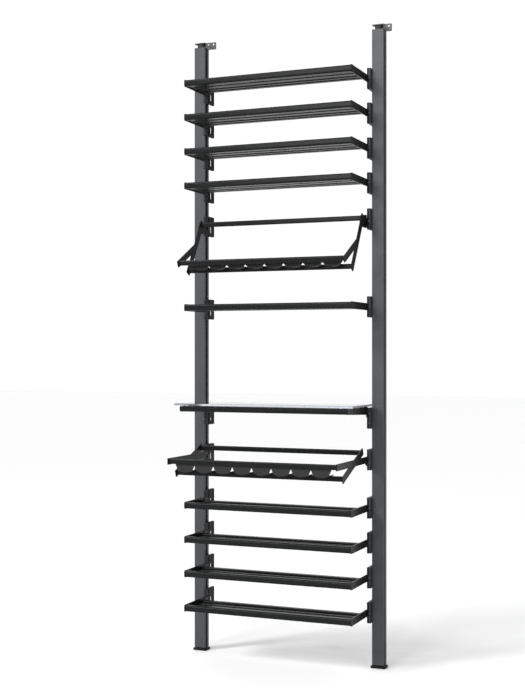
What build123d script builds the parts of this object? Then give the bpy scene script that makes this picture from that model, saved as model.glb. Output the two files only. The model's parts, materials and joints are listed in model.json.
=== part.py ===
from build123d import *
import os
from math import cos, hypot, radians, sin

# Wall-fixed wine display rack: two slotted uprights on levelling feet, tied to the wall at
# the top, carrying twelve height-adjustable levels.  Millimetres, +Z up, front towards -Y.
# Everything is laid out with x from the rack's centre, y from the uprights' front face and
# z from the floor, then moved so that the origin is the middle of the box on the floor.

# --- uprights -------------------------------------------------------------------------
POST_W = 49.0
POST_D = 38.0
POST_X = 385.4            # upright centre from the rack's centre
POST_TOP = 2500.0
POST_BOTTOM = 12.0
POST_ROUND = 2.5
SLOT_Y = 14.0             # middle of the T-slots
MOUTH_W = 11.0
LIP = 3.5
SLOT_W = 20.0
SLOT_DEPTH = 12.5
CORE_W = 18.0
CORE_D = 24.0
PLUG_LENGTH = 25.0
INNER_FACE = POST_X - POST_W / 2
POST_MID_Y = POST_D / 2

# --- top fixings and feet --------------------------------------------------------------
ADJUSTER_R = 16.0
ADJUSTER_H = 16.0
STEM_L = 24.0
BOLT_R = 5.0
FIT = 0.1
PLATE = 3.0
WALL_Y = 110.0            # back of the wall flanges
FLANGE_H = 30.0
LEG_WIDE = 26.0           # the leg is as wide as the upright as far back as this
LEG_HALF = 15.0
WALL_HOLE_R = 4.0
WALL_HOLE_GAP = 25.0
WALL_HOLE_DROP = 9.0
FOOT_W = 60.0
FOOT_D = 46.0
FOOT_H = 9.0

# --- levels ----------------------------------------------------------------------------
PITCH = 136.4
FLAT_LEVELS = {1: 2306.2, 2: 2170.9, 3: 2034.5, 4: 1898.3, 6: 1413.8,
               9: 217.9 + 3 * PITCH, 10: 217.9 + 2 * PITCH, 11: 217.9 + PITCH, 12: 217.9}
UPPER_DISPLAY = 1757.1
GLASS_LEVEL = 978.0
LOWER_DISPLAY = 815.6

# --- brackets: a base plate with a T-shaped key in the slot, and a long black ear ----------
BASE_GAP = 0.3            # between the upright and the base plate
BASE_T = 5.5
EAR_T = 7.8
BRACKET_FRONT = -20.0
BASE_BACK = 24.0
EAR_BACK = 60.0
BRACKET_H = 82.5
CORNER_R = 5.0
GROOVE = (-3.0, 12.0)     # a vertical groove in the ear's inner face
RECESS = (24.0, 57.0)     # a recess round the ear's tall hole
RECESS_T = 2.0
HOLE_Y = 36.0
HOLE_W = 17.0
HOLE_H = 30.0
HOLE_BOTTOM = 14.7
KEY_H = 40.0
KEY_NECK = 10.0
KEY_HEAD = 16.0
BASE_OUT = INNER_FACE - BASE_GAP
EAR_OUT = BASE_OUT - BASE_T
EAR_IN = EAR_OUT - EAR_T

# --- flat shelves ----------------------------------------------------------------------
END_OUT = 349.5
END_T = 4.5
END_IN = END_OUT - END_T
END_H = 28.0
SHELF_FRONT = -218.5
RAIL_H = 25.0
RAIL_D = 15.5
NOSE_R = 7.0
TONGUE_IN = EAR_IN - END_T
TONGUE_BACK = -4.0
SLATS = ((-196.0, -170.0), (-156.0, -124.0), (-103.0, -85.0))
SLAT_T = 8.0
SLAT_BOTTOM = -10.0
BACK_RAIL = (-70.0, -45.0)
BACK_RAIL_T = 14.0

# --- glass shelf -----------------------------------------------------------------------
GLASS_FRONT = -258.0
GLASS_RAIL_H = 22.0
GLASS_RAIL_TOP = 46.0     # above the bracket's centre
ARM_BACK_DROP = 32.0
PAD_R = 6.0
PAD_T = 2.5
PANE_W = 744.0
PANE_FRONT = -268.0
PANE_BACK = -23.0
PANE_T = 8.0

# --- tilting display racks ----------------------------------------------------------------
PIVOT_Y = -12.0
PIVOT_DROP = 10.0         # the pivot is this far below the bracket's centre
PIN_R = 4.0
RUN = 0.05
FRAME_OUT = 346.4
FRAME_T = 4.5
FRAME_IN = FRAME_OUT - FRAME_T
ARM_W = 26.0
ARM_L = 256.0
BRANCH_W = 25.0
LUG_R = 14.0
PIN_HEAD_R = 7.0
PIN_HEAD_H = 3.0
TUBE_H = 20.0
TUBE_D = 13.0
TUBE_R = 5.0
TUBE_INSET = 14.0         # rail centres from the arm's ends
CRADLES = 8
CRADLE_PITCH = 79.5
CRADLE_FLOOR = 30.0       # half the width of one cradle's floor
CRADLE_SAG = 7.0
CRADLE_T = 3.0
CRADLE_TOP = 6.5          # the wall's top above its notches

pieces = {}


def block(x, y, z):
    """A box between two limits on each axis."""
    size = [abs(b - a) for a, b in (x, y, z)]
    middle = [(a + b) / 2 for a, b in (x, y, z)]
    return Pos(*middle) * Box(*size)


def plate(outline, inner, outer):
    """A flat plate across X, with its outline given in Y and Z."""
    sheet = Plane(origin=(inner, 0, 0), x_dir=(0, 1, 0), z_dir=(1, 0, 0)) * outline
    return extrude(sheet, amount=outer - inner)


def polygon(points):
    """A flat outline through the given corners."""
    return make_face(Polyline(*points, close=True))


def both(piece):
    """A piece at the right-hand end and its mirror image at the left."""
    return [piece, mirror(piece, about=Plane.YZ)]


def rounded_x(piece, radius):
    """Round the long edges of a bar that runs along X."""
    return fillet(piece.edges().filter_by(Axis.X), radius)


def add(name, solids):
    """Keep one solid or several as one node."""
    found = []
    for entry in solids if isinstance(solids, list) else [solids]:
        found.extend(entry.solids())
    pieces[name] = found


def upright():
    """A slotted post: T-slots on both side faces, and hollow cores."""
    section = RectangleRounded(POST_W, POST_D, POST_ROUND)
    depth = POST_W / 2
    for side in (-1, 1):
        mouth = Pos(side * (depth - LIP / 2), SLOT_Y - POST_MID_Y) * Rectangle(LIP, MOUTH_W)
        wide = SLOT_DEPTH - LIP
        slot = Pos(side * (depth - LIP - wide / 2), SLOT_Y - POST_MID_Y) * Rectangle(wide, SLOT_W)
        rear = Pos(side * (depth - LIP - wide / 2), POST_MID_Y - 7) * Rectangle(wide, 8)
        section = section - mouth - slot - rear
    section -= Rectangle(CORE_W, CORE_D)
    length = POST_TOP - POST_BOTTOM
    return Pos(POST_X, POST_MID_Y, POST_BOTTOM) * extrude(section, amount=length)


def slot_plug(side):
    """The black plug that closes the top of a T-slot."""
    face = POST_X + side * POST_W / 2
    top = (POST_TOP - PLUG_LENGTH, POST_TOP)
    mouth = block((face, face - side * LIP), (SLOT_Y - MOUTH_W / 2, SLOT_Y + MOUTH_W / 2), top)
    slot = block((face - side * LIP, face - side * SLOT_DEPTH),
                 (SLOT_Y - SLOT_W / 2, SLOT_Y + SLOT_W / 2), top)
    return mouth + slot


def adjuster():
    """The round nut on top of an upright, with a stem pressed into its core."""
    nut = Pos(0, 0, ADJUSTER_H / 2) * Cylinder(ADJUSTER_R, ADJUSTER_H)
    nut = chamfer(nut.edges().filter_by(GeomType.CIRCLE), 1.2)
    stem = Pos(0, 0, -STEM_L / 2) * Box(CORE_W, CORE_D, STEM_L)
    bore = Cylinder(BOLT_R + FIT, 2 * (ADJUSTER_H + STEM_L))
    return Pos(POST_X, POST_MID_Y, POST_TOP) * (nut + stem - bore)


def top_bolt():
    """The low-headed bolt that ties the wall bracket to the adjuster."""
    leg_top = POST_TOP + ADJUSTER_H + PLATE
    head = Pos(0, 0, 2) * Cylinder(8.5, 4)
    head = fillet(head.edges().group_by(Axis.Z)[-1], 1.5)
    socket = Pos(0, 0, 3) * extrude(RegularPolygon(2.9, 6), amount=2)
    shank = Pos(0, 0, -20) * Cylinder(BOLT_R, 40)
    return Pos(POST_X, POST_MID_Y, leg_top) * (head + shank - socket)


def wall_bracket():
    """An angle: a leg over the adjuster, and an upstand with two screw holes."""
    low = POST_TOP + ADJUSTER_H
    side = (POST_X - POST_W / 2, POST_X + POST_W / 2)
    leg = block(side, (0, LEG_WIDE), (low, low + PLATE))
    leg += block((POST_X - LEG_HALF, POST_X + LEG_HALF), (0, WALL_Y), (low, low + PLATE))
    upstand = block(side, (WALL_Y - PLATE, WALL_Y), (low, low + FLANGE_H))
    angle = leg + upstand
    corners = angle.edges().filter_by(Axis.Y).group_by(Axis.Z)[-1]
    angle = fillet(corners, 3)
    angle = fillet(angle.edges().filter_by(Axis.Z).group_by(Axis.Y)[0], 3)
    angle -= Pos(POST_X, POST_MID_Y, low) * Cylinder(BOLT_R + 2 * FIT, 4 * PLATE)
    for x in (POST_X - WALL_HOLE_GAP / 2, POST_X + WALL_HOLE_GAP / 2):
        hole = Rot(90, 0, 0) * Cylinder(WALL_HOLE_R, 4 * PLATE)
        angle -= Pos(x, WALL_Y, low + FLANGE_H - WALL_HOLE_DROP) * hole
    return angle


def foot():
    """A levelling foot: a pad, a lock nut and a stud inside the upright's core."""
    pad = extrude(RectangleRounded(FOOT_W, FOOT_D, 6), amount=FOOT_H)
    pad = fillet(pad.edges().group_by(Axis.Z)[-1], 3)
    nut = Pos(0, 0, FOOT_H) * extrude(RegularPolygon(9, 6), amount=POST_BOTTOM - FOOT_H - FIT)
    stud = Pos(0, 0, FOOT_H + 25) * Cylinder(BOLT_R, 50)
    return Pos(POST_X, POST_MID_Y, 0) * (pad + nut + stud)


def base_plate(centre):
    """The grey base plate, and the key that slides in the upright's slot."""
    half = BRACKET_H / 2
    flat = block((EAR_OUT, BASE_OUT), (BRACKET_FRONT, BASE_BACK), (-half, half))
    flat = fillet(flat.edges().filter_by(Axis.X), CORNER_R)
    neck = block((BASE_OUT - 1, INNER_FACE + LIP + BASE_GAP),
                 (SLOT_Y - KEY_NECK / 2, SLOT_Y + KEY_NECK / 2), (-KEY_H / 2, KEY_H / 2))
    head = block((INNER_FACE + LIP + BASE_GAP, INNER_FACE + SLOT_DEPTH - 1),
                 (SLOT_Y - KEY_HEAD / 2, SLOT_Y + KEY_HEAD / 2), (-KEY_H / 2, KEY_H / 2))
    return Pos(0, 0, centre) * (flat + neck + head)


def ear(centre, hole_height, pivoted):
    """The black plate on the base plate: a groove, a recess round a hole, a pivot bore."""
    half = BRACKET_H / 2
    inside = (EAR_IN - 1, EAR_IN + RECESS_T)
    flat = block((EAR_IN, EAR_OUT), (BRACKET_FRONT, EAR_BACK), (-half, half))
    flat = fillet(flat.edges().filter_by(Axis.X), CORNER_R)
    flat -= block(inside, GROOVE, (-half, half))
    height = BRACKET_H - EAR_BACK + RECESS[1] - CORNER_R
    recess = RectangleRounded(RECESS[1] - RECESS[0], height, CORNER_R)
    flat -= plate(Pos((RECESS[0] + RECESS[1]) / 2, 0) * recess, *inside)
    hole = Pos(HOLE_Y, HOLE_BOTTOM - half + hole_height / 2) * RectangleRounded(HOLE_W, hole_height, 6)
    flat -= plate(hole, EAR_IN - 1, EAR_OUT + 1)
    if pivoted:
        bore = Rot(0, 90, 0) * Cylinder(PIN_R + RUN, 4 * EAR_T)
        flat -= Pos(EAR_IN, PIVOT_Y, -PIVOT_DROP) * bore
    return Pos(0, 0, centre) * flat


def brackets(name, centre, hole_height=HOLE_H, pivoted=False):
    """The pair of brackets that carry one level."""
    ears = both(ear(centre, hole_height, pivoted))
    add(name + "_brackets", both(base_plate(centre)) + ears)


def bar(y, z, half_length, radius):
    """A rounded bar along X."""
    return rounded_x(block((-half_length, half_length), y, z), radius)


def nosed_rail(front, z, half_length):
    """A front rail with a bull nose."""
    rail = block((-half_length, half_length), (front, front + RAIL_D), z)
    long_edges = rail.edges().filter_by(Axis.X)
    rail = fillet(long_edges.group_by(Axis.Y)[0], NOSE_R)
    return fillet(rail.edges().filter_by(Axis.X).group_by(Axis.Y)[-1], 2)


def end_plate(centre):
    """A side arm: a flat plate with a tongue that laps the bracket's ear."""
    half = END_H / 2
    flat = block((END_IN, END_OUT), (SHELF_FRONT, BRACKET_FRONT), (-half, half))
    front = flat.edges().filter_by(Axis.X).group_by(Axis.Y)[0]
    flat = fillet(front, NOSE_R)
    lap = BACK_RAIL[1] + 1
    tongue = block((TONGUE_IN, EAR_IN), (lap, TONGUE_BACK), (3 - half, half - 3))
    return Pos(0, 0, centre) * (flat + tongue)


def flat_shelf(number, centre):
    """A slatted shelf for lying bottles."""
    name = f"shelf_{number:02d}"
    half = RAIL_H / 2
    front = nosed_rail(SHELF_FRONT, (centre - half, centre + half), END_IN)
    low = centre + SLAT_BOTTOM
    back = bar(BACK_RAIL, (low, low + BACK_RAIL_T), END_IN, 4)
    add(name + "_rails", [front, back])
    add(name + "_slats", [bar(y, (low, low + SLAT_T), END_IN, 3) for y in SLATS])
    add(name + "_end_plates", both(end_plate(centre)))
    brackets(name, centre)


def glass_arm(centre):
    """A deepening side arm under the glass, with a rounded gusset at the bracket."""
    top = GLASS_RAIL_TOP
    front = top - GLASS_RAIL_H
    back = top - ARM_BACK_DROP
    radius = 12.0
    edge = BRACKET_FRONT - radius
    outline = make_face([
        Line((GLASS_FRONT, top), (BRACKET_FRONT, top)),
        Line((BRACKET_FRONT, top), (BRACKET_FRONT, back - radius)),
        RadiusArc((BRACKET_FRONT, back - radius), (edge, back), -radius),
        Line((edge, back), (GLASS_FRONT, front)),
        Line((GLASS_FRONT, front), (GLASS_FRONT, top))])
    arm = plate(outline, END_IN, END_OUT)
    arm = fillet(arm.edges().filter_by(Axis.X).group_by(Axis.Y)[0], NOSE_R)
    tongue = block((TONGUE_IN, EAR_IN), (BACK_RAIL[1] + 1, TONGUE_BACK), (back + 3, top - 3))
    return Pos(0, 0, centre) * (arm + tongue)


def glass_shelf(centre):
    """A glass pane on four pads over an open frame."""
    top = centre + GLASS_RAIL_TOP
    low = top - GLASS_RAIL_H
    back_y = (BACK_RAIL[0] + 10, BACK_RAIL[1])
    add("glass_shelf_rails", [nosed_rail(GLASS_FRONT, (low, top), END_IN),
                              bar(back_y, (low, top), END_IN, 4)])
    add("glass_shelf_arms", both(glass_arm(centre)))
    pad = Pos(END_IN - 25, 0, top + PAD_T / 2) * Cylinder(PAD_R, PAD_T)
    pads = []
    for y in (GLASS_FRONT + RAIL_D / 2, (back_y[0] + back_y[1]) / 2):
        pads.extend(both(Pos(0, y, 0) * pad))
    add("glass_shelf_pads", pads)
    pane = Pos(0, (PANE_FRONT + PANE_BACK) / 2, top + PAD_T) * extrude(
        RectangleRounded(PANE_W, PANE_BACK - PANE_FRONT, 8), amount=PANE_T)
    add("glass_pane", chamfer(pane.edges().group_by(Axis.Z)[-1], 0.8))
    brackets("glass_shelf", centre, hole_height=14.0)


def slanted_bar(start, angle, length, width):
    """The outline of a flat bar from a point, falling towards the front by an angle."""
    a = radians(angle)
    middle = (start[0] - cos(a) * length / 2, start[1] - sin(a) * length / 2)
    return Pos(*middle) * Rot(0, 0, angle) * Rectangle(length, width)


def on_bar(start, angle, along):
    """A point on the centre line of such a bar."""
    a = radians(angle)
    return (start[0] - cos(a) * along, start[1] - sin(a) * along)


def crossing(top, arm_angle, end, branch_angle):
    """How far the branch runs from its end to the arm's centre line."""
    arm = (cos(radians(arm_angle)), sin(radians(arm_angle)))
    branch = (cos(radians(branch_angle)), sin(radians(branch_angle)))
    gap = (top[0] - end[0], top[1] - end[1])
    return (gap[0] * arm[1] - gap[1] * arm[0]) / (branch[0] * arm[1] - branch[1] * arm[0])


def cradles(lip, wall_y, notch, base, back):
    """Scoops behind the lip rail: a flange, one notched wall, a curved floor for each bottle."""
    half = CRADLE_PITCH / 2
    end = half * CRADLES
    top = notch + CRADLE_TOP
    outline = [Polyline((end, notch), (end, top), (-end, top), (-end, notch))]
    floors = []
    for i in range(CRADLES):
        x = half * (2 * i + 1) - end
        left = (x - CRADLE_FLOOR, base)
        right = (x + CRADLE_FLOOR, base)
        under = ThreePointArc(left, (x, base - CRADLE_SAG), right)
        over = Pos(0, CRADLE_T) * under
        sides = [Line(under @ 0, over @ 0), Line(under @ 1, over @ 1)]
        sheet = Plane.XZ.offset(-wall_y) * make_face([under, over, *sides])
        floors.append(extrude(sheet, amount=wall_y - back - 1))
        outline += [Line((x - half, notch), left), under, Line(right, (x + half, notch))]
    tray = extrude(Plane.XZ.offset(-wall_y) * make_face(outline), amount=-CRADLE_T)
    tray += block((-end, end), (lip[0], wall_y + CRADLE_T), (top - CRADLE_T, top))
    for floor in floors:
        tray += floor
    return tray


def display(name, centre, arm_top, arm_angle, branch_end, branch_angle, lug, tray):
    """A tilting rack: two branched side frames, three rails, cradles and pivot pins.

    tray gives the cradles' wall behind the lip rail, their notches below it, and their floors
    above the bottom rail, from rail centre to rail centre.
    """
    pivot = (PIVOT_Y, centre - PIVOT_DROP)

    def place(point):
        return (pivot[0] + point[0], pivot[1] + point[1])

    top = place(arm_top)
    end = place(branch_end)
    reach = crossing(top, arm_angle, end, branch_angle)
    arm = slanted_bar(top, arm_angle, ARM_L, ARM_W)
    branch = slanted_bar(on_bar(end, branch_angle, -reach), branch_angle, reach, BRANCH_W)
    outline = arm + branch + polygon([place(point) for point in lug])
    outline += Pos(*pivot) * Circle(LUG_R)
    frame = plate(outline, FRAME_IN, FRAME_OUT)
    bore = Rot(0, 90, 0) * Cylinder(PIN_R, 4 * FRAME_T)
    frame -= Pos(FRAME_IN, *pivot) * bore
    add(name + "_side_frames", both(frame))
    shank = EAR_OUT - FRAME_IN - FIT
    pin = Pos(0, 0, shank / 2) * Cylinder(PIN_R, shank)
    pin += Pos(0, 0, -PIN_HEAD_H / 2) * Cylinder(PIN_HEAD_R, PIN_HEAD_H)
    add(name + "_pivot_pins", both(Pos(FRAME_IN, *pivot) * Rot(0, 90, 0) * pin))
    lip = on_bar(end, branch_angle, -TUBE_D)
    bottom = on_bar(top, arm_angle, ARM_L - TUBE_INSET)
    rails = []
    for spot, tilt in ((on_bar(top, arm_angle, TUBE_INSET), 0), (bottom, 0), (lip, branch_angle)):
        tube = bar((-TUBE_D / 2, TUBE_D / 2), (-TUBE_H / 2, TUBE_H / 2), FRAME_IN, TUBE_R)
        rails.append(Pos(0, *spot) * Rot(tilt, 0, 0) * tube)
    add(name + "_rails", rails)
    scoops = cradles(lip, lip[0] + tray[0], lip[1] - tray[1], bottom[1] + tray[2], bottom[0] - TUBE_D / 2)
    add(name + "_cradles", scoops - rails[1] - rails[2])
    brackets(name, centre, pivoted=True)


post = upright()
add("right_upright", post)
add("left_upright", mirror(post, about=Plane.YZ))
add("slot_plugs", both(slot_plug(-1)) + both(slot_plug(1)))
add("top_adjusters", both(adjuster()))
add("top_bolts", both(top_bolt()))
right_bracket = wall_bracket()
add("right_wall_bracket", right_bracket)
add("left_wall_bracket", mirror(right_bracket, about=Plane.YZ))
right_foot = foot()
add("right_foot", right_foot)
add("left_foot", mirror(right_foot, about=Plane.YZ))

for shelf_number, shelf_centre in FLAT_LEVELS.items():
    flat_shelf(shelf_number, shelf_centre)
glass_shelf(GLASS_LEVEL)
display("upper_display", UPPER_DISPLAY, arm_top=(-49, 20.5), arm_angle=58.6,
        branch_end=(-272, -167), branch_angle=27.3,
        lug=[(-70, 19), (-8, 26), (0, -14), (-8, -26), (-60, -26), (-85, -10)],
        tray=(42.0, 9.5, 6.0))
display("lower_display", LOWER_DISPLAY, arm_top=(-51.5, 46.6), arm_angle=21.0,
        branch_end=(-358, 8.5), branch_angle=0.0,
        lug=[(-160, 21), (0, 22), (0, -3.5), (-160, -4)], tray=(2.0, 13.0, 14.0))

box = Compound(children=[solid for group in pieces.values() for solid in group]).bounding_box()
shift = Pos(-(box.min.X + box.max.X) / 2, -(box.min.Y + box.max.Y) / 2, -box.min.Z)
os.makedirs("parts", exist_ok=True)
for node, solids in pieces.items():
    export_step(Compound(children=[shift * solid for solid in solids]), f"parts/{node}.step")
print("nodes", len(pieces), "shift", shift.position, "box", box.size)
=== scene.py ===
import json
import math

import bmesh
import bpy
from mathutils import Matrix, Vector


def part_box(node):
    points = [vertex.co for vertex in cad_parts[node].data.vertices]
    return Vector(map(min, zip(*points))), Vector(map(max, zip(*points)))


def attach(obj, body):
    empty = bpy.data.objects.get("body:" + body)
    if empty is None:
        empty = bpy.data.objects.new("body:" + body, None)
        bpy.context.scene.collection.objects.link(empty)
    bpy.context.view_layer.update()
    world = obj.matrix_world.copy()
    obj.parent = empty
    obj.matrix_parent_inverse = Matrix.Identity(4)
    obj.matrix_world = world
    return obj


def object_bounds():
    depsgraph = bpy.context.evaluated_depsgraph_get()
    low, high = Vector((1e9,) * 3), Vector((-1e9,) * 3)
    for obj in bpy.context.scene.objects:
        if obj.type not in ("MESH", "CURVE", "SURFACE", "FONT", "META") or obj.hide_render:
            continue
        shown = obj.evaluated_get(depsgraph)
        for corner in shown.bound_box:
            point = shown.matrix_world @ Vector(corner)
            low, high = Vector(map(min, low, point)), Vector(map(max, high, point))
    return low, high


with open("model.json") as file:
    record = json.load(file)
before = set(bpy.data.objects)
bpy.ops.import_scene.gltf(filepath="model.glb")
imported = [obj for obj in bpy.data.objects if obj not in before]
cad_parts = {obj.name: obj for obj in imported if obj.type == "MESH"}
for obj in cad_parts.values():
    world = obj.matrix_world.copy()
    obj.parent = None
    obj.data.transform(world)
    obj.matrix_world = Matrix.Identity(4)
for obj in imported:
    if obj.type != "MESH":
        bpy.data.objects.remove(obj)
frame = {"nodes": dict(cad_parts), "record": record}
CAD_LOW, CAD_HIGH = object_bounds()
NODES = frame["nodes"]
BODIES = frame["record"]["behaviour"]["bodies"]
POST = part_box("right_upright")
FACE_Y = POST[0].y                      # the uprights' front face
MM = 0.001
EAR_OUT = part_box("upper_display_pivot_pins")[1].x + 0.1 * MM     # where a bracket's ear meets its base
POST_MID = (POST[0] + POST[1]) / 2
POST_SKIN_X = 0.3 * MM                  # the faces' depth, before an upright's core starts
POST_SKIN_Y = 0.6 * MM
# The uprights' core: what lies inside their skin, chiefly the slot hollows, which the upright coat paints
# near-black as painted shade.
POST_SHADED_CORE = ((POST_MID.x, POST_MID.y),
             (POST[1].x - POST_MID.x - POST_SKIN_X, POST[1].y - POST_MID.y - POST_SKIN_Y))

# Screw heads on the brackets, by level: heights from the bracket's middle.
SCREW_HEIGHTS = {"glass_shelf": (0.020, -0.018), "upper_display": (-0.010,), "lower_display": (-0.010,)}
SCREW_OUT = 1.5 * MM                    # outside the ear
SCREW_RADIUS = 2.9 * MM
SCREW_HEIGHT = 1.6 * MM
SUNK = 0.1 * MM                         # how far a head starts inside its plate
DOME_STEPS = 6
FORWARD = Matrix.Rotation(math.radians(90), 3, "X")

# The adjuster nuts' ridges: (height above the upright, tip radius, root radius), in mm.
RIDGES = 48
RIDGE_PROFILE = ((3.2, 16.1, 16.05), (3.8, 16.5, 16.05), (12.2, 16.5, 16.05), (12.8, 16.1, 16.05),
                 (12.8, 15.6, 15.6), (3.2, 15.6, 15.6))

FLOOR_HALF = 30
FLOOR_GAP = 0.2 * MM

# The photograph's camera: level, to the right of the rack and in front of it.
CAMERA_X = 1.8337
CAMERA_FORWARD = 4.6256                 # in front of the uprights' front face
CAMERA_Z = 1.2325
CAMERA_TURN = 22.72                     # degrees to the left of straight ahead
LENS = 63.5
SENSOR = 36
SHIFT_UP = 0.0045


# --- materials ---------------------------------------------------------------------------
class Shader:
    """A node material, built one node at a time."""

    def __init__(self, name):
        self.material = bpy.data.materials.new(name)
        self.material.use_nodes = True
        self.tree = self.material.node_tree
        self.surface = self.tree.nodes["Principled BSDF"]

    def node(self, kind, **values):
        made = self.tree.nodes.new(kind)
        for key, value in values.items():
            if hasattr(made, key):
                setattr(made, key, value)
            else:
                made.inputs[key.replace("_", " ")].default_value = value
        return made

    def link(self, source, target):
        self.tree.links.new(source, target)

    def place(self):
        """Coordinates that stay on the piece, in metres."""
        return self.node("ShaderNodeTexCoord").outputs["Object"]

    def noise(self, scale, detail):
        made = self.node("ShaderNodeTexNoise", Scale=scale, Detail=detail, Roughness=0.6)
        self.link(self.place(), made.inputs["Vector"])
        return made.outputs["Fac"]

    def remap(self, value, low, high, out_low, out_high):
        made = self.node("ShaderNodeMapRange")
        ends = {"From Min": low, "From Max": high, "To Min": out_low, "To Max": out_high}
        for key, number in ends.items():
            made.inputs[key].default_value = number
        self.link(value, made.inputs["Value"])
        return made.outputs["Result"]

    def mix(self, factor, first, second):
        made = self.node("ShaderNodeMix", data_type="RGBA")
        self.link(factor, made.inputs["Factor"])
        for socket, colour in ((made.inputs[6], first), (made.inputs[7], second)):
            if isinstance(colour, tuple):
                socket.default_value = (*colour, 1)
            else:
                self.link(colour, socket)
        return made.outputs[2]

    def bump(self, height, distance, strength, normal):
        made = self.node("ShaderNodeBump", Distance=distance, Strength=strength)
        self.link(height, made.inputs["Height"])
        self.link(normal, made.inputs["Normal"])
        return made.outputs["Normal"]

    def maths(self, operation, *values):
        """A sum on sockets and numbers."""
        made = self.node("ShaderNodeMath", operation=operation)
        for socket, value in zip(made.inputs, values):
            if isinstance(value, (int, float)):
                socket.default_value = value
            else:
                self.link(value, socket)
        return made.outputs[0]

    def axis(self, source, letter):
        """One axis of a vector."""
        axes = self.node("ShaderNodeSeparateXYZ")
        self.link(source, axes.inputs[0])
        return axes.outputs[letter]

    def inside(self, middle, half):
        """1 within a body's core, either side of X = 0, and 0 on its skin: the mask of the painted shade in
        the uprights' slots.
        """
        across = self.maths("ABSOLUTE", self.axis(self.place(), "X"))
        along = self.axis(self.place(), "Y")
        masks = []
        for value, centre, reach in zip((across, along), middle, half):
            size = self.maths("ABSOLUTE", self.maths("SUBTRACT", value, centre))
            masks.append(self.remap(size, reach - 0.5 * MM, reach, 1.0, 0.0))
        return self.maths("MULTIPLY", *masks)

    def edges(self, radius):
        """(rounded normal, mask that is 1 on sharp edges)."""
        bevel = self.node("ShaderNodeBevel", samples=4, Radius=radius)
        plain = self.node("ShaderNodeNewGeometry").outputs["Normal"]
        dot = self.node("ShaderNodeVectorMath", operation="DOT_PRODUCT")
        self.link(bevel.outputs["Normal"], dot.inputs[0])
        self.link(plain, dot.inputs[1])
        return bevel.outputs["Normal"], self.remap(dot.outputs["Value"], 1.0, 0.86, 0.0, 1.0)


# Painted shade: the near-black colour given to an upright's slot hollows, in place of the shade inside them.
PAINTED_SLOT_SHADE = (0.004, 0.004, 0.004)
MOTTLE = 0.05                           # how much a coat's colour wanders, up and down


def coat(name, colour, worn, roughness, metallic=0.0, grain=1500.0, grain_depth=0.5, shine=0.5, core=None):
    """A powder-coated or plastic surface: fine grain, soft mottling and paler worn edges, which on the
    uprights are partly a painted highlight.

    core is a body's middle and half size in X and Y: what lies inside it, chiefly the uprights' slot
    hollows, is painted near-black as painted shade.
    """
    s = Shader(name)
    rounded, edge = s.edges(1.0 * MM)
    dark = tuple(c * (1 - MOTTLE) for c in colour)
    pale = tuple(c * (1 + MOTTLE) for c in colour)
    body = s.mix(s.remap(s.noise(7.0, 4.0), 0.35, 0.65, 0.0, 1.0), dark, pale)
    speck = s.remap(s.noise(grain, 1.0), 0.62, 0.78, 0.0, 0.2)
    body = s.mix(speck, body, worn)
    wear = s.remap(s.noise(60.0, 4.0), 0.4, 0.7, 0.15, 0.75)
    body = s.mix(s.maths("MULTIPLY", edge, wear), body, worn)
    # Painted shade: what lies inside the core, chiefly the slot hollows, is painted near-black.
    if core:
        body = s.mix(s.inside(*core), body, PAINTED_SLOT_SHADE)
    s.link(body, s.surface.inputs["Base Color"])
    rough = s.remap(s.noise(18.0, 5.0), 0.3, 0.7, roughness - 0.04, roughness + 0.04)
    s.link(rough, s.surface.inputs["Roughness"])
    s.surface.inputs["Metallic"].default_value = metallic
    s.surface.inputs["Specular IOR Level"].default_value = shine
    s.link(s.bump(s.noise(grain, 2.0), grain_depth * MM, 0.08, rounded), s.surface.inputs["Normal"])
    return s.material


def two_part_coat(name, split, outer, inner, worn, roughness):
    """The brackets' finish: a grey base plate outside the split, a black ear inside it."""
    s = Shader(name)
    rounded, edge = s.edges(0.8 * MM)
    across = s.maths("ABSOLUTE", s.axis(s.place(), "X"))
    side = s.remap(across, split - 0.05 * MM, split + 0.05 * MM, 0.0, 1.0)
    body = s.mix(side, inner, outer)
    body = s.mix(s.remap(s.noise(30.0, 4.0), 0.4, 0.75, 0.0, 0.3), body, worn)
    wear = s.remap(s.noise(80.0, 4.0), 0.4, 0.7, 0.1, 0.7)
    s.link(s.mix(s.maths("MULTIPLY", edge, wear), body, worn), s.surface.inputs["Base Color"])
    rough = s.remap(s.noise(25.0, 5.0), 0.3, 0.7, roughness - 0.06, roughness + 0.06)
    s.link(rough, s.surface.inputs["Roughness"])
    s.surface.inputs["Specular IOR Level"].default_value = 0.15
    s.link(s.bump(s.noise(1200.0, 2.0), 0.5 * MM, 0.15, rounded), s.surface.inputs["Normal"])
    return s.material


def pane_glass(name):
    """Clear tempered glass with darker, rougher ground edges."""
    s = Shader(name)
    facing_up = s.maths("ABSOLUTE", s.axis(s.node("ShaderNodeNewGeometry").outputs["Normal"], "Z"))
    edge = s.remap(facing_up, 0.4, 0.8, 1.0, 0.0)
    s.link(s.mix(edge, (0.95, 0.96, 0.975), (0.78, 0.81, 0.86)), s.surface.inputs["Base Color"])
    smear = s.remap(s.noise(9.0, 5.0), 0.35, 0.7, 0.01, 0.05)
    s.link(s.maths("MULTIPLY_ADD", edge, 0.25, smear), s.surface.inputs["Roughness"])
    s.surface.inputs["Transmission Weight"].default_value = 1.0
    s.surface.inputs["IOR"].default_value = 1.5
    s.surface.inputs["Specular Tint"].default_value = (0.66, 0.66, 0.76, 1)
    return s.material


def paint(material, *nodes):
    """Give CAD nodes a finish."""
    for name in nodes:
        slots = NODES[name].data.materials
        slots.clear()
        slots.append(material)


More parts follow.
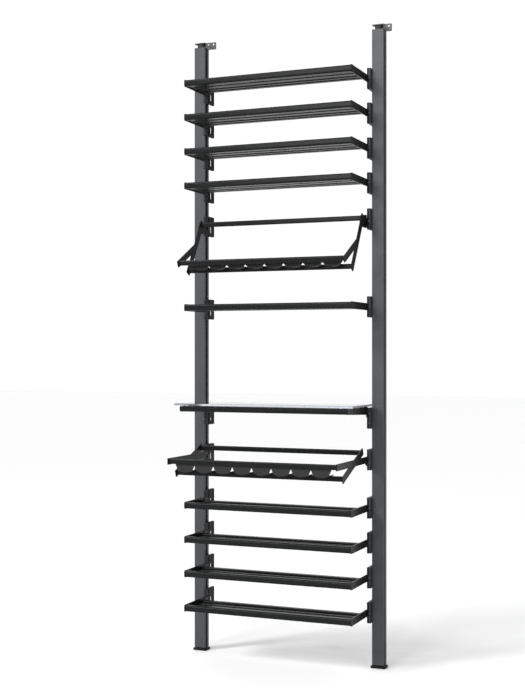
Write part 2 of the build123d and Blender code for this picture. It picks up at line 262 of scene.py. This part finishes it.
# --- detail pieces -------------------------------------------------------------------------
def finished(mesh, name, body, material):
    """Close a bmesh into a piece that rides on a body."""
    bmesh.ops.recalc_face_normals(mesh, faces=mesh.faces)
    data = bpy.data.meshes.new(name)
    mesh.to_mesh(data)
    mesh.free()
    data.materials.append(material)
    piece = bpy.data.objects.new(name, data)
    bpy.context.scene.collection.objects.link(piece)
    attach(piece, body)


def ring(mesh, centre, turn, radius, height, sides):
    """One ring of points round an axis."""
    made = []
    for i in range(sides):
        a = 2 * math.pi * i / sides
        point = Vector((radius * math.cos(a), radius * math.sin(a), height))
        made.append(mesh.verts.new(centre + turn @ point))
    return made


def lathe(mesh, centre, turn, profile, sides=24):
    """A closed turned shape: profile is (radius, height) pairs, from the back to the socket's floor."""
    rings = [ring(mesh, centre, turn, r, h, sides) for r, h in profile]
    for low, high in zip(rings, rings[1:]):
        for i in range(sides):
            j = (i + 1) % sides
            mesh.faces.new((low[i], low[j], high[j], high[i]))
    mesh.faces.new(list(reversed(rings[0])))
    mesh.faces.new(rings[-1])


def screw_head(mesh, centre, turn, radius, height):
    """A domed head with a round socket."""
    profile = [(radius * 0.98, 0.0)]
    for step in range(DOME_STEPS):
        a = math.radians(15 * step)
        profile.append((radius * (0.55 + 0.45 * math.cos(a)), height * math.sin(a) + SUNK))
    profile.extend([(radius * 0.42, height), (radius * 0.40, height * 0.35)])
    lathe(mesh, centre, turn, profile)


def bracket_screws(level, body):
    """Screw heads on the fronts of a level's brackets."""
    low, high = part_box(level + "_brackets")
    middle = (low.z + high.z) / 2
    screws = bmesh.new()
    for side in (-1, 1):
        for z in SCREW_HEIGHTS.get(level, (0.0,)):
            spot = Vector((side * (EAR_OUT + SCREW_OUT), low.y + SUNK, middle + z))
            screw_head(screws, spot, FORWARD, SCREW_RADIUS, SCREW_HEIGHT)
    finished(screws, level + "_bracket_screws", body, BRIGHT)


def knurl(name, body):
    """A fine ridged band round each adjuster nut."""
    mesh = bmesh.new()
    count = 2 * RIDGES
    for side in (-1, 1):
        loops = []
        for height, tip, root in RIDGE_PROFILE:
            row = []
            for i in range(count):
                a = 2 * math.pi * i / count
                r = (root if i % 2 else tip) * MM
                row.append(mesh.verts.new((side * POST_MID.x + r * math.cos(a), POST_MID.y + r * math.sin(a),
                                           POST[1].z + height * MM)))
            loops.append(row)
        for k, row in enumerate(loops):
            after = loops[(k + 1) % len(loops)]
            for i in range(count):
                j = (i + 1) % count
                mesh.faces.new((row[i], row[j], after[j], after[i]))
    finished(mesh, name, body, BLACK)


# --- put it together -------------------------------------------------------------------------
# The uprights' pale edge colour is partly wear and partly a painted highlight along their corners.
UPRIGHT = coat("upright_powder_coat", (0.0475, 0.050, 0.0535), (0.16, 0.16, 0.165), 0.40,
               grain=1800.0, shine=0.25, core=POST_SHADED_CORE)
SHELF = coat("shelf_powder_coat", (0.0075, 0.0080, 0.0084), (0.06, 0.062, 0.065), 0.28,
             grain=2200.0, shine=0.10)
CRADLE = coat("cradle_powder_coat", (0.008, 0.008, 0.009), (0.05, 0.05, 0.052), 0.5, shine=0.3)
BRACKET = two_part_coat("bracket_coat", EAR_OUT, (0.040, 0.041, 0.043), (0.004, 0.004, 0.0045),
                        (0.10, 0.10, 0.103), 0.5)
WALL_STEEL = coat("wall_bracket_coat", (0.03, 0.031, 0.033), (0.12, 0.12, 0.123), 0.45)
BLACK = coat("blackened_steel", (0.008, 0.008, 0.009), (0.07, 0.07, 0.07), 0.34, metallic=0.3)
BRIGHT = coat("screw_steel", (0.14, 0.14, 0.145), (0.3, 0.3, 0.3), 0.34, metallic=0.6)
PLASTIC = coat("black_plastic", (0.004, 0.004, 0.004), (0.02, 0.02, 0.02), 0.5, grain=900.0, grain_depth=0.8,
               shine=0.15)
PAD = coat("pad_rubber", (0.55, 0.57, 0.57), (0.7, 0.7, 0.7), 0.55)
PANE = pane_glass("tempered_glass")

paint(UPRIGHT, "left_upright", "right_upright")
paint(PLASTIC, "slot_plugs", "left_foot", "right_foot")
paint(BLACK, "top_adjusters", "top_bolts", "upper_display_pivot_pins", "lower_display_pivot_pins")
paint(WALL_STEEL, "left_wall_bracket", "right_wall_bracket")
paint(PANE, "glass_pane")
paint(PAD, "glass_shelf_pads")
for node in NODES:
    if node.endswith("_brackets"):
        paint(BRACKET, node)
    elif node.endswith("_cradles"):
        paint(CRADLE, node)
    elif node.endswith(("_rails", "_slats", "_end_plates", "_arms", "_side_frames")):
        paint(SHELF, node)

for body, members in BODIES.items():
    for node in members:
        if node.endswith("_brackets"):
            bracket_screws(node[:-len("_brackets")], body)
knurl("adjuster_knurling", "frame")


# --- floor, light and camera -----------------------------------------------------------------
def floor():
    """A wide pale floor."""
    mesh = bmesh.new()
    bmesh.ops.create_grid(mesh, x_segments=2, y_segments=2, size=FLOOR_HALF)
    data = bpy.data.meshes.new("floor")
    mesh.to_mesh(data)
    mesh.free()
    s = Shader("floor_paint")
    s.surface.inputs["Base Color"].default_value = (0.815, 0.815, 0.82, 1)
    s.surface.inputs["Roughness"].default_value = 0.9
    data.materials.append(s.material)
    made = bpy.data.objects.new("floor", data)
    made.location.z = CAD_LOW.z - FLOOR_GAP
    bpy.context.scene.collection.objects.link(made)


def softbox(name, place, target, size, power):
    """A soft rectangular light."""
    data = bpy.data.lights.new(name, "AREA")
    data.shape = "RECTANGLE"
    data.size, data.size_y = size
    data.energy = power
    made = bpy.data.objects.new(name, data)
    made.location = place
    made.rotation_euler = (Vector(target) - Vector(place)).to_track_quat("-Z", "Y").to_euler()
    bpy.context.scene.collection.objects.link(made)


def sky():
    """A white studio: bright behind the rack and overhead, dimmer to its right and in front."""
    world = bpy.data.worlds.new("studio")
    bpy.context.scene.world = world
    world.use_nodes = True
    tree = world.node_tree
    place = tree.nodes.new("ShaderNodeTexCoord")
    axes = tree.nodes.new("ShaderNodeSeparateXYZ")
    tree.links.new(place.outputs["Generated"], axes.inputs[0])

    def ramp(axis, start, stop, low, high):
        spread = tree.nodes.new("ShaderNodeMapRange")
        for key, value in (("From Min", start), ("From Max", stop), ("To Min", low), ("To Max", high)):
            spread.inputs[key].default_value = value
        tree.links.new(axes.outputs[axis], spread.inputs["Value"])
        return spread.outputs["Result"]

    total = tree.nodes.new("ShaderNodeMath")
    total.operation = "MULTIPLY_ADD"
    tree.links.new(ramp("Y", -0.1, 0.4, 0.0, 0.67), total.inputs[0])
    tree.links.new(ramp("X", 0.0, 0.25, 1.0, 0.0), total.inputs[1])
    tree.links.new(ramp("Z", 0.45, 0.8, 0.35, 0.80), total.inputs[2])
    tree.links.new(total.outputs[0], tree.nodes["Background"].inputs["Strength"])
    tree.nodes["Background"].inputs["Color"].default_value = (1, 1, 1, 1)


def sunlight(turn, height, strength, spread):
    """One wide, soft light from far away: degrees to the left of the front, and above the floor."""
    data = bpy.data.lights.new("sunlight", "SUN")
    data.energy = strength
    data.angle = math.radians(spread)
    made = bpy.data.objects.new("sunlight", data)
    made.rotation_euler = (math.radians(90 - height), 0, -math.radians(turn))
    bpy.context.scene.collection.objects.link(made)


def camera():
    """The photograph's viewpoint."""
    data = bpy.data.cameras.new("camera")
    data.lens = LENS
    data.sensor_width = SENSOR
    data.shift_y = SHIFT_UP
    made = bpy.data.objects.new("camera", data)
    made.location = (CAMERA_X, FACE_Y - CAMERA_FORWARD, CAMERA_Z)
    made.rotation_euler = (math.radians(90), 0, math.radians(CAMERA_TURN))
    bpy.context.scene.collection.objects.link(made)
    bpy.context.scene.camera = made


floor()
sky()
softbox("key", (-0.7, FACE_Y - 4.4, 3.2), (0, FACE_Y, 1.8), (2.0, 2.6), 135)
softbox("strip", (3.0, FACE_Y - 2.3, 1.4), (0.4, FACE_Y, 1.4), (0.25, 3.2), 16)
sunlight(40, 34, 2.3, 16)
bpy.context.scene.view_settings.view_transform = "Standard"     # keeps the studio's white white
camera()
